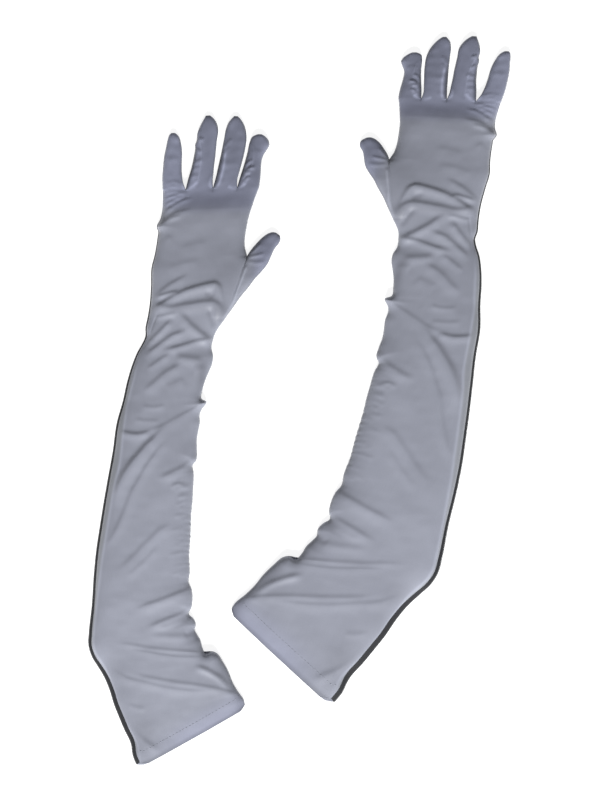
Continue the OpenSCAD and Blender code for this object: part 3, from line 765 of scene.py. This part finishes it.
def ledge_shade(grid):
    """Painted shadow: how much light the back skin keeps, whose first columns are the ledge."""
    shade = np.ones(grid.shape[:2])
    dark = fade(-grid[:, 0, 1], LEDGE_END, LEDGE_FADE)
    shade[:, :len(LEDGE_SHARES)] -= np.outer(dark, LEDGE_SHARES) * (1 - LEDGE_SHADE)
    return shade


def tint(grid, kind):
    """How light the cloth is at each point, as a factor of its material's colour: random mottle, and painted
    light and shade.
    """
    xy = grid[..., :2].reshape(-1, 2)
    x, y = xy[:, 0], xy[:, 1]
    out = np.ones((len(xy), 3)) * (1 + MOTTLE * ripple(xy, MOTTLE_PITCH, 5))[:, None]
    # Painted highlight along the sewn ridges.
    if kind != "plain":
        out += ridges(xy)[1][:, None]
    if kind == "arm":
        d, share = distance_to(xy, curve(ALLOWANCE_LINE, 3))
        strip = smoothstep(-d / 1.5) * smoothstep(share / 0.12) * smoothstep((1 - share) / 0.05)
        out += (strip * (d > -STRIP_WIDTH))[:, None] * OUTER_STRIP
    # Painted shade: the fingers and the thumb darker and bluer.
    up = np.maximum(fade(y, -FINGER_FROM, SHADE_REACH), fade(x, -THUMB_FROM, SHADE_REACH))[:, None]
    out *= 1 + up * (FINGER_SHADE - 1)
    if kind == "arm":
        # Painted shade along the hem's turned edge, and painted light over the cuff beside it.
        d = distance_to(xy, HEM_LINE)[0]
        out *= 1 - HEM_EDGE_SHADE * fade(d, *HEM_EDGE_FADE)[:, None]
        out *= 1 + (fade(d, *HEM_PAINTED_LIGHT_FADE) * fade(x, *HEM_ACROSS_FADE))[:, None] * (HEM_PAINTED_LIGHT - 1)
    # Patches of painted light and shade.
    for middle_x, middle_y, wide, tall, factor in PAINTED_LIGHT_AND_SHADE_PATCHES:
        form = np.exp(-((x - middle_x) / wide) ** 2 - ((y - middle_y) / tall) ** 2)
        out *= (1 + (factor - 1) * form)[:, None]
    return out.reshape(grid.shape[:2] + (3,))


# ---------------------------------------------------------------- pieces
def grid_faces(rows, columns):
    i, j = np.meshgrid(np.arange(rows - 1), np.arange(columns - 1), indexing="ij")
    a = (i * columns + j).ravel()
    return np.stack([a, a + 1, a + columns + 1, a + columns], 1)


def piece_from(grids, kind="plain", facing=1, shade=1.0):
    """One piece's points, faces and tints, in mm, from one or more grids. kind is arm, digit or
    plain, facing -1 turns the faces over, and shade is a further factor of painted shade for the tints."""
    points, faces, tints, count = [], [], [], 0
    for g in grids:
        faces.append((grid_faces(*g.shape[:2]) + count)[:, ::facing])
        points.append(g.reshape(-1, 3))
        tints.append((tint(g, kind) * np.asarray(shade)[..., None]).reshape(-1, 3))
        count += g.shape[0] * g.shape[1]
    return {"points": np.concatenate(points), "faces": np.concatenate(faces),
            "tint": np.concatenate(tints)}


def weld(piece):
    """Joins points that lie together and drops the faces that this closes up."""
    key = np.round(piece["points"] / 1e-4).astype(np.int64)
    _, first, index = np.unique(key, axis=0, return_index=True, return_inverse=True)
    faces = index.reshape(-1)[piece["faces"]]
    repeats = (faces == np.roll(faces, 1, axis=1)).sum(1)
    folded = (faces[:, 0] == faces[:, 2]) | (faces[:, 1] == faces[:, 3])
    return {"points": piece["points"][first], "faces": faces[(repeats < 2) & ~folded],
            "tint": piece["tint"][first]}


def face_vectors(points, faces):
    """Each face's normal, twice as long as its area. A triangle is a face that repeats a corner."""
    a, b, c, d = (points[faces[:, k]] for k in range(4))
    return np.cross(c - a, d - b)


def shared_normals(pieces):
    """Vertex normals over all pieces of a glove together, so that no seam shows where two meet."""
    sums = []
    for p in pieces:
        vectors = face_vectors(p["placed"], p["faces"])
        total = np.zeros_like(p["placed"])
        for k in range(4):
            np.add.at(total, p["faces"][:, k], vectors)
        sums.append(total)
    spots = np.concatenate([np.round(p["placed"] / 2e-6).astype(np.int64) for p in pieces])
    _, index = np.unique(spots, axis=0, return_inverse=True)
    index = index.reshape(-1)
    shared = np.zeros((index.max() + 1, 3))
    np.add.at(shared, index, np.concatenate(sums))
    shared /= np.maximum(np.linalg.norm(shared, axis=1), 1e-15)[:, None]
    start = 0
    for p in pieces:
        p["normal"] = shared[index[start:start + len(p["placed"])]]
        start += len(p["placed"])


def turned_over(faces):
    return [f[::-1] for f in faces] if isinstance(faces, list) else faces[:, ::-1]


def face_lists(faces):
    """The faces as lists of corners, without repeats."""
    faces = faces if isinstance(faces, list) else faces.tolist()
    return [[v for k, v in enumerate(f) if v != f[k - 1]] for f in faces]


def add(name, data):
    """Puts a new object with this data into the scene."""
    thing = bpy.data.objects.new(name, data)
    bpy.context.scene.collection.objects.link(thing)
    return thing


def make_mesh(name, piece, material):
    mesh = bpy.data.meshes.new(name)
    mesh.from_pydata(piece["placed"].tolist(), [], face_lists(piece["faces"]))
    mesh.polygons.foreach_set("use_smooth", [True] * len(mesh.polygons))
    corners = np.zeros(len(mesh.loops), np.int32)
    mesh.loops.foreach_get("vertex_index", corners)
    uv = mesh.uv_layers.new(name="cloth")
    uv.data.foreach_set("uv", (piece["points"][corners, :2] / 10).astype(np.float32).ravel())
    colour = mesh.color_attributes.new(name="tint", type="FLOAT_COLOR", domain="POINT")
    rgba = np.concatenate([piece["tint"], np.ones((len(piece["tint"]), 1))], 1)
    colour.data.foreach_set("color", rgba.astype(np.float32).ravel())
    if "normal" in piece:
        mesh.normals_split_custom_set_from_vertices(piece["normal"].tolist())
    mesh.materials.append(material)
    return add(name, mesh)


HEM_ROWS = 24  # more rows of the cuff than the hem is deep
HEM_ROLL = [(0, 0), (0.3, 0.2), (0.3, 0.8), (0, 1)]  # mm beyond the edge, and share of the way down


def hem_layer(skin, columns, depth=12.5, gap=0.65):
    """The turned-up layer inside one skin at the opening: it rolls over the edge and lies inside."""
    near = skin[:HEM_ROWS]
    du, dv = np.gradient(near, axis=0), np.gradient(near, axis=1)
    n = np.cross(dv, du)
    n /= np.linalg.norm(n, axis=2)[..., None]
    out = -du[0] / np.linalg.norm(du[0], axis=1)[:, None]
    rows = [near[0] + beyond * out - down * gap * n[0] for beyond, down in HEM_ROLL]
    for d in np.linspace(0, depth, 8)[1:]:
        row = []
        for j in range(near.shape[1]):
            k, p = reached(near[:, j], d)
            row.append(p - gap * n[k, j])
        rows.append(np.array(row))
    return np.array(rows)[:, columns]


ALLOWANCE_INSETS = [0.9, 2.4, 4.0, 5.4]  # how far each line of an allowance lies from its seam
ALLOWANCE_RISE, ALLOWANCE_WAVE = 0.1, 0.18


def side_ribbon(top, side, seed):
    """A seam allowance: a ribbon of cloth between the skins, beside the palm skin's outer seam
    (side 0) or its inner seam (side -1)."""
    way = (top[:, -1] - top[:, 0])[:, :2]
    way /= np.linalg.norm(way, axis=1)[:, None]
    if side:
        way = -way
    edge = top[:, side, :2]
    wave = ALLOWANCE_WAVE * ripple(edge, 12, seed)
    return np.stack([raised(edge + way * inset, SEAM_Z + ALLOWANCE_RISE * k + wave * k / 3)
                     for k, inset in enumerate(ALLOWANCE_INSETS)], 1)


THREAD, STITCH_LIFT, STITCH_SINK = 0.14, 0.16, 0.02  # the thread's radius, and how it stands up
STITCH, STITCH_PITCH, HEM_DEPTH = 2.3, 3.4, 11.5
RINGS, SIDES = 6, 6  # of a stitch, which is a short closed tube
TUBE_FACES = [[SIDES * k + m, SIDES * k + n, SIDES * (k + 1) + n, SIDES * (k + 1) + m]
              for k in range(RINGS - 1) for m, n in zip(range(SIDES), [*range(1, SIDES), 0])]
TUBE_FACES += [[*range(SIDES - 1, -1, -1)], [*range(SIDES * (RINGS - 1), SIDES * RINGS)]]


def stitch(centres):
    """The points of one stitch: a short arc of thread through the centres."""
    way = centres[-1] - centres[0]
    way /= np.linalg.norm(way)
    side = np.cross([0, 0, 1], way)
    side /= np.linalg.norm(side)
    up = np.cross(way, side)
    points = []
    for k, centre in enumerate(centres):
        lift = STITCH_LIFT * math.sin(math.pi * k / (RINGS - 1)) - STITCH_SINK
        radius = THREAD * (0.5 if k in (0, RINGS - 1) else 1)
        for m in range(SIDES):
            a = 2 * math.pi * m / SIDES
            points.append(centre + up * (lift + radius * math.sin(a)) + side * radius * math.cos(a))
    return points


def stitch_row(top):
    """A row of stitches on the palm skin, along the hem's depth."""
    row = np.array([reached(top[:HEM_ROWS, j], HEM_DEPTH)[1] for j in range(3, top.shape[1] - 3)])
    length = lengths(row)[0].sum()
    points, faces = [], []
    for start in np.arange(1, length - STITCH, STITCH_PITCH):
        faces += [[len(points) + v for v in f] for f in TUBE_FACES]
        points += stitch(along(row, (start + np.linspace(0, 1, RINGS) * STITCH) / length))
    return {"points": np.array(points), "faces": faces, "tint": np.ones((len(points), 3))}


# The fourchettes on each finger's left and right.
FOURCHETTES = [(None, "little_fourchette"),
               ("ring_fourchette_little_side", "ring_fourchette_middle_side"),
               ("middle_fourchette_ring_side", "middle_fourchette_index_side"),
               ("index_fourchette", None)]
THUMB_SEAM_DROP = 0.7  # how far the thumb's seam allowance lies under the palm skin


def arm_pieces(top, under, starts):
    """The panels of the arm, and what is sewn to them, by the name of the CAD node."""
    _, elbow, wrist, low, crotch, last = starts
    pieces = {}
    for name, first, end in (("cuff", 0, elbow), ("forearm", elbow, wrist), ("hand", wrist, last)):
        rows = slice(first, end + 1)
        pieces["palm_" + name] = piece_from([top[rows]], "arm")
        pieces["back_" + name] = piece_from([under[rows]], "plain", -1, ledge_shade(under[rows]))
    for name, outer, inner, end, seed in (("cuff", 9, 15, elbow, 41),
                                          ("forearm", elbow, elbow, wrist, 43),
                                          ("hand", wrist, crotch + 4, last, 45)):
        pieces[name + "_seams"] = piece_from([side_ribbon(top[outer:end + 1], 0, seed),
                                              side_ribbon(top[inner:end + 1], -1, seed + 1)])
    mouth = top[low + 5:crotch - 4] - [0, 0, THUMB_SEAM_DROP]
    pieces["thumb_seam"] = piece_from([np.stack([mouth[:, -k] for k in (2, 4, 6, 8)], 1)])
    pieces["cuff_hem"] = piece_from([hem_layer(top, slice(1, -1)),
                                     hem_layer(under[:, ::-1], slice(1, -3))])
    pieces["hem_stitching"] = stitch_row(top)
    return pieces


def thumb_pieces(base):
    """The thumb's palm side and its back, from the hand's edge."""
    palm, back = thumb_surface(base)
    v = np.linspace(0, 1, palm.shape[1])[None]
    tau = np.linspace(0, 1, len(palm))[:, None]
    # Painted shade where the thumb rolls under at its edges and tip.
    shade = 1 - (1 - rolled(v, tau)) * smoothstep(tau / 0.2)
    return {"thumb_palm": piece_from([palm], "digit", -1, shade),
            "thumb_back": piece_from([back])}


def finger_pieces(i, name):
    """A finger's palm side, its back and its fourchettes, by the name of the CAD node."""
    palm, back, lows = finger_surface(i)
    left, middle, _ = finger_columns(i)
    tau = np.linspace(0, 1, len(palm))[:, None]
    u = finger_shares(i, tau[:, 0])
    # Painted shade where the finger rolls under at its edges and tip, and on its side by its left neighbour.
    shade = 1 - (1 - rolled(u, tau)) * smoothstep((tau - 0.15) / 0.25)
    if SIDE_SHADE[i]:
        shade *= 1 - SIDE_DARK * (1 - smoothstep(u / SIDE_SHADE[i])) * smoothstep((0.75 - tau) / 0.4)
    own = slice(left, left + middle + 1)
    pieces = {name + "_palm": piece_from([palm[:, own]], "digit", 1, shade[:, own]),
              name + "_back": piece_from([back], "plain", -1)}
    # Painted shade on the lower parts of the fourchettes.
    low_shade = np.full(lows[0].shape[:2], LOW_SHADE)
    sides = (([lows[0][:, ::-1], palm[:, :left + 1]], [low_shade, shade[:, :left + 1]]),
             ([palm[:, left + middle:], lows[1]], [shade[:, left + middle:], low_shade]))
    end = int(round(FOURCHETTE_END * (len(palm) - 1))) + 1
    for fourchette, (grids, shades) in zip(FOURCHETTES[i], sides):
        if fourchette:
            grid, painted_shading = np.concatenate(grids, 1)[:end], np.concatenate(shades, 1)[:end]
            pieces[fourchette] = piece_from([grid], "digit", 1, painted_shading)
    return pieces


def glove_pieces():
    """Every piece of a glove, in mm in its own frame, by the name of its CAD node."""
    top, under, starts = arm_surface()
    pieces = arm_pieces(top, under, starts)
    pieces.update(thumb_pieces(top[starts[3]:starts[4] + 1, -1]))
    for i, name in enumerate(FINGERS):
        pieces.update(finger_pieces(i, name))
    return {name: p if name == "hem_stitching" else weld(p) for name, p in pieces.items()}


# ---------------------------------------------------------------- materials
def feed(tree, socket, value):
    """Links an input to an output, or sets it to a constant."""
    if isinstance(value, bpy.types.NodeSocket):
        tree.links.new(value, socket)
    else:
        socket.default_value = value


def node(tree, kind, *sources, out=0, **values):
    """Adds a node and returns one of its outputs. sources are for its first inputs, and values for
    the inputs or the settings of those names."""
    n = tree.nodes.new(kind)
    for name, value in values.items():
        if name in n.inputs:
            feed(tree, n.inputs[name], value)
        else:
            setattr(n, name, value)
    for socket, source in zip(n.inputs, sources):
        feed(tree, socket, source)
    return n.outputs[out]


def new_material(name, **values):
    """A new material, its node tree and its shader, some of whose inputs have these values."""
    material = bpy.data.materials.new(name)
    material.use_nodes = True
    shader = material.node_tree.nodes["Principled BSDF"]
    for socket, value in values.items():
        shader.inputs[socket.replace("_", " ")].default_value = value
    return material, material.node_tree, shader


def satin(name, shade=1.0, roughness=0.5, sheen=0.25, weave=0.12):
    """Stretch satin: a fine sateen weave, long soft streaks, faint blotches and a low sheen."""
    material, t, shader = new_material(name, Sheen_Weight=sheen, Sheen_Roughness=0.45,
                                       Specular_IOR_Level=0.24)

    def spread(source, low, high):
        return node(t, "ShaderNodeMapRange", source, **{"To Min": low, "To Max": high})

    def times(a, b):
        return node(t, "ShaderNodeMath", a, b, operation="MULTIPLY")

    cloth = node(t, "ShaderNodeUVMap", uv_map="cloth")
    # The colour layer holds the cloth's random tone and its painted light and shade.
    tone_and_painted_light_layer = node(t, "ShaderNodeVertexColor", layer_name="tint")
    blotch = node(t, "ShaderNodeTexNoise", cloth, Scale=0.55, Detail=2.0)
    grain = node(t, "ShaderNodeTexNoise", cloth, Scale=9.0, Detail=3.0)
    stretch = node(t, "ShaderNodeMapping", cloth, Scale=(14.0, 0.7, 1.0))
    streak = node(t, "ShaderNodeTexNoise", stretch, Scale=1.0, Detail=2.0)
    weft, warp = (node(t, "ShaderNodeTexWave", cloth, out="Fac", wave_type="BANDS",
                       bands_direction=way, Scale=scale, Distortion=distortion)
                  for way, scale, distortion in (("Y", 5.2, 1.2), ("X", 8.7, 0.6)))
    light = times(times(spread(blotch, 0.95, 1.05), spread(streak, 0.975, 1.025)),
                  spread(grain, 0.97, 1.03))
    colour = tuple(shade * c for c in SATIN_GREY)
    tinted = node(t, "ShaderNodeVectorMath", colour, tone_and_painted_light_layer, operation="MULTIPLY")
    height = node(t, "ShaderNodeMath", times(weft, warp), streak, operation="ADD")
    feed(t, shader.inputs["Base Color"],
         node(t, "ShaderNodeVectorMath", tinted, operation="SCALE", Scale=light))
    feed(t, shader.inputs["Roughness"], spread(grain, roughness - 0.05, roughness + 0.05))
    feed(t, shader.inputs["Normal"],
         node(t, "ShaderNodeBump", Strength=weave, Distance=0.0002, Height=height))
    return material


SATIN_GREY = (0.190, 0.199, 0.238)
LOOKS = {
    "satin_palm": satin("satin_palm_cloth"),
    "satin_back": satin("satin_back_cloth", 0.97),
    "fourchette_satin": satin("fourchette_cloth", 1.06),
    "seam_allowance": satin("seam_allowance_cloth", 1.12, 0.7, 0.1, 0.3),
    "hem_satin": satin("hem_cloth", 1.1, 0.6, 0.1, 0.2),
    # The thread's colour is lightened: painted light against its own shadow.
    "sewing_thread": satin("thread", 1.15, 0.55, 0.3, 0.5),
}
SLOTS = {s["node"]: s["material_slot"] for s in frame["record"]["subparts"]}
JOINTS = {j["name"]: j for j in frame["joints"]}
BEND = 0.021  # how far past a fold line fold() puts its second point


def fold(side, joint):
    """The two bodies of a joint, its place, and a point a little past its fold line."""
    j = JOINTS[side + "_" + joint + "_fold"]
    start = np.array(j["pos_m"])
    # A positive turn lifts the child, so the child lies on the axis's left, seen from above.
    toward = np.cross([0, 0, 1], j["axis"])
    return j["parent"], j["child"], start, start + toward * BEND


def where(side, name):
    """The body a piece rides on, or the joint that it lies across."""
    if name == "thumb_seam":
        return side + "_hand"
    if name in ("cuff_hem", "hem_stitching"):
        return side + "_cuff"
    for digit in FINGERS + ["thumb"]:
        if name.startswith(digit + "_"):
            return digit
    if "cuff" in name:
        return "elbow"
    return "wrist" if "hand" in name else side + "_forearm"


LAID_OUT = 1.03  # how much longer and wider a piece is when it is smoothed flat
FOURCHETTE_WIDTH = 0.0105  # in metres


def flat_size(piece):
    """The width and length of a panel laid flat, and its area, in metres. A fourchette stands
    almost upright, so its width comes from its area or is the usual one."""
    p = piece["placed"]
    centre = p[:, :2].mean(0)
    _, _, axes = np.linalg.svd(p[::7, :2] - centre, full_matrices=False)
    length, width = np.ptp((p[:, :2] - centre) @ axes.T, axis=0) * LAID_OUT
    area = 0.5 * np.linalg.norm(face_vectors(p, piece["faces"]), axis=1).sum()
    width = max(width, 1.1 * area / length, FOURCHETTE_WIDTH)
    return round(width, 4), round(length, 4), area


def dress(side):
    """Makes one glove: its pieces in place, each on its body if it rides on one; a piece that lies across a
    joint is left unattached.
    """
    pieces = glove_pieces()
    for p in pieces.values():
        p["placed"] = lay(side, p["points"])
        if side == "left":
            p["faces"] = turned_over(p["faces"])
    shared_normals([p for n, p in pieces.items() if n != "hem_stitching" and not n.endswith("_seams")])
    made = {}
    for name, p in pieces.items():
        cad = side + "_" + name
        thing = make_mesh(cad + ".cloth", p, LOOKS[SLOTS[cad]])
        at = where(side, name)
        if at in frame["bodies"]:
            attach(thing, at)
        else:
            parent, child, start, end = fold(side, at)
            tuple(start)
            tuple(end)
            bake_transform(thing)
        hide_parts(cad)
        made[name] = thing
    declare(pieces, made)


TRIMMINGS = {"palm_cuff": ["cuff_hem", "hem_stitching", "cuff_seams"],
             "palm_forearm": ["forearm_seams"], "palm_hand": ["hand_seams", "thumb_seam"]}


def declare(pieces, made):
    """Works out how large each piece of cloth was cut, and does nothing further with it."""
    for name, thing in made.items():
        if "seam" in name or name in ("cuff_hem", "hem_stitching"):
            continue
        width, length, area = flat_size(pieces[name])
        if "back" in name:
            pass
        elif "fourchette" in name:
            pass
        else:
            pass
        [made[k] for k in TRIMMINGS.get(name, [])]


# ---------------------------------------------------------------- floor, light and camera
HORIZON_LIGHT, OVERHEAD_LIGHT = 0.75, 0.27
VIEW_CENTRE = (0.00505, 0.0007)
VIEW_HEIGHT = 0.720
CAMERA_UP = 2.6
SENSOR = 24
FLOOR_HALF, FLOOR_GREY, FLOOR_GLOW = 5.0, 0.38, 0.82
WHITE = (1, 1, 1, 1)


def floor():
    mesh = bpy.data.meshes.new("floor")
    corners = [(x * FLOOR_HALF, y * FLOOR_HALF, 0) for x, y in ((-1, -1), (1, -1), (1, 1), (-1, 1))]
    mesh.from_pydata(corners, [], [(0, 1, 2, 3)])
    mesh.materials.append(new_material(
        "pale_floor", Base_Color=(FLOOR_GREY, FLOOR_GREY, FLOOR_GREY, 1), Roughness=0.9,
        Specular_IOR_Level=0.1, Emission_Color=WHITE, Emission_Strength=FLOOR_GLOW)[0])
    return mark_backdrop(add("floor", mesh))


def area_light(name, place, target, size, power):
    data = bpy.data.lights.new(name, "AREA")
    data.shape = "RECTANGLE"
    data.size, data.size_y = size
    data.energy = power
    lamp = add(name, data)
    lamp.location = place
    way = np.array(target) - np.array(place)
    pitch = math.atan2(math.hypot(way[0], way[1]), -way[2])
    lamp.rotation_euler = (pitch, 0, math.atan2(-way[0], way[1]))


def sky():
    """A plain white world, which is brighter at the horizon than overhead."""
    world = bpy.data.worlds.new("studio")
    bpy.context.scene.world = world
    world.use_nodes = True
    t = world.node_tree
    way = node(t, "ShaderNodeTexCoord", out="Generated")
    height = node(t, "ShaderNodeMath", node(t, "ShaderNodeSeparateXYZ", way, out="Z"),
                  operation="ABSOLUTE")
    glow = node(t, "ShaderNodeMapRange", height, interpolation_type="SMOOTHSTEP",
                **{"From Max": 0.45, "To Min": HORIZON_LIGHT, "To Max": OVERHEAD_LIGHT})
    feed(t, t.nodes["Background"].inputs["Color"], WHITE)
    feed(t, t.nodes["Background"].inputs["Strength"], glow)


def look_down():
    """The camera, high over the middle of the two gloves."""
    data = bpy.data.cameras.new("camera")
    data.sensor_fit = "VERTICAL"
    data.sensor_height = SENSOR
    data.lens = SENSOR * CAMERA_UP / VIEW_HEIGHT
    camera = add("camera", data)
    camera.location = (*VIEW_CENTRE, CAMERA_UP)
    bpy.context.scene.camera = camera


floor()
area_light("key", place=(0.0, -2.5, 1.6), target=(0, 0.1, 0), size=(1.2, 0.7), power=205)
sky()
bpy.context.scene.view_settings.view_transform = "Standard"
look_down()
for glove in ("right", "left"):
    dress(glove)
